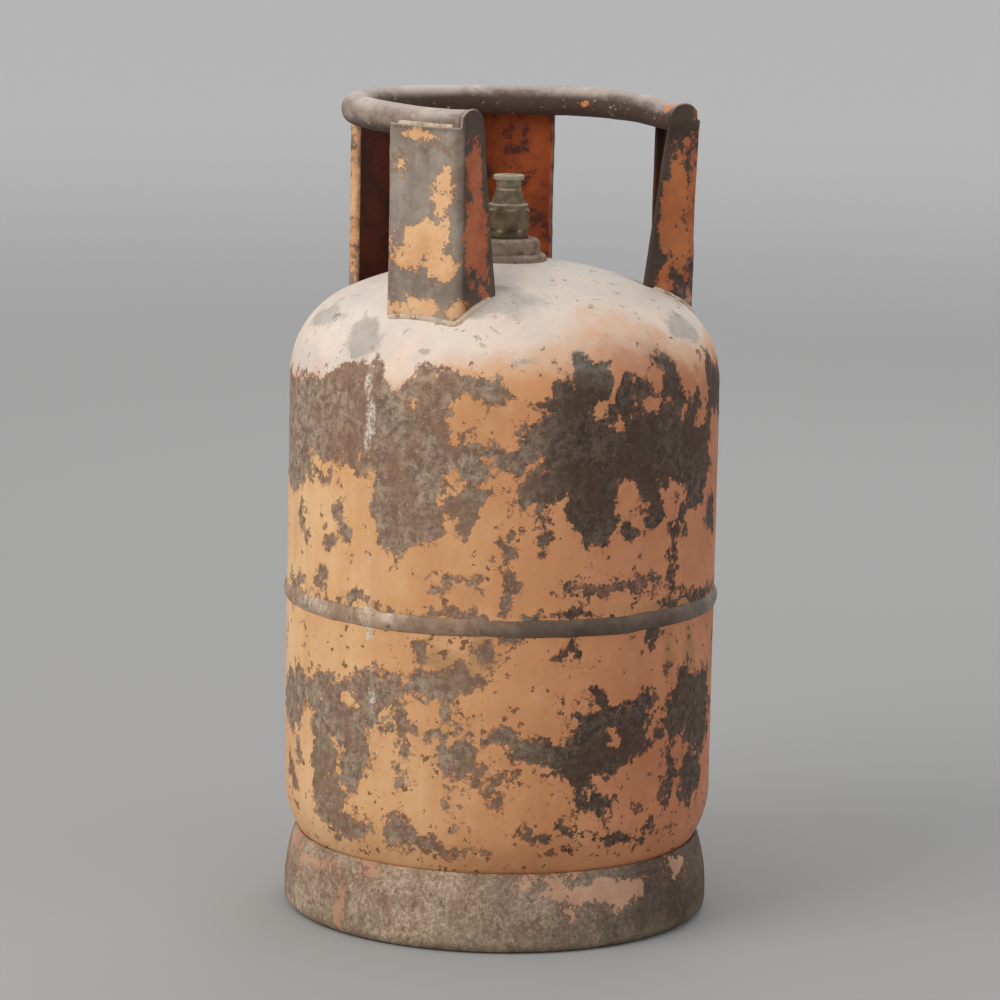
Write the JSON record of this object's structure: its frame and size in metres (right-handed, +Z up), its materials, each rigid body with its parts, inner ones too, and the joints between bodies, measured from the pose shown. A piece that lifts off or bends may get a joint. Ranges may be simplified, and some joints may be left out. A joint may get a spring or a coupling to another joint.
{
  "type": "gas cylinder",
  "caption": "Tall rusty steel gas cylinder with a rolled foot ring, a welded waist seam, a brass valve and a post-and-tube guard.",
  "frame": {"origin": "on the floor, under the body's axis", "axes": "+Z up along the body's axis; -Y towards the gap in the handle, through which the valve is reached"},
  "size_m": [0.304, 0.304, 0.5715],
  "materials": {
    "orange_paint": "sun-bleached orange paint, flaking, over bare brown rust",
    "foot_grime": "scuffed steel under grey-beige ground dirt",
    "weld_rust": "dark rusted weld bead, rippled",
    "guard_paint": "orange paint worn to grey-brown rust",
    "handle_steel": "rusty tube under pale dust",
    "valve_brass": "dull olive-brown tarnished brass with pale dust",
    "valve_rubber": "matt black rubber",
    "valve_steel": "dull plated steel"
  },
  "bodies": {
    "cylinder": {"foot_ring": "foot_grime", "foot_ring_welds": "weld_rust", "lower_shell": "orange_paint", "upper_shell": "orange_paint", "seam_weld": "weld_rust", "valve_boss": "handle_steel", "boss_weld": "weld_rust", "guard_post_left": "guard_paint", "guard_post_right": "guard_paint", "guard_post_rear": "guard_paint", "guard_post_far": "guard_paint", "post_foot_welds": "weld_rust", "handle_ring": "handle_steel", "handle_welds": "weld_rust", "valve_body": "valve_brass", "mouth_seal": "valve_rubber", "poppet_spring": "valve_steel", "spring_retainer": "valve_steel"},
    "poppet": {"poppet": "valve_steel", "poppet_seal": "valve_rubber"}
  },
  "joints": [
    {"name": "poppet_press", "type": "slide", "parent": "cylinder", "child": "poppet", "axis": [0, 0, -1], "range_m": [0, 0.004], "stiffness_N_per_m": 1500, "springref_m": -0.004, "deforming": ["poppet_spring"]}
  ]
}
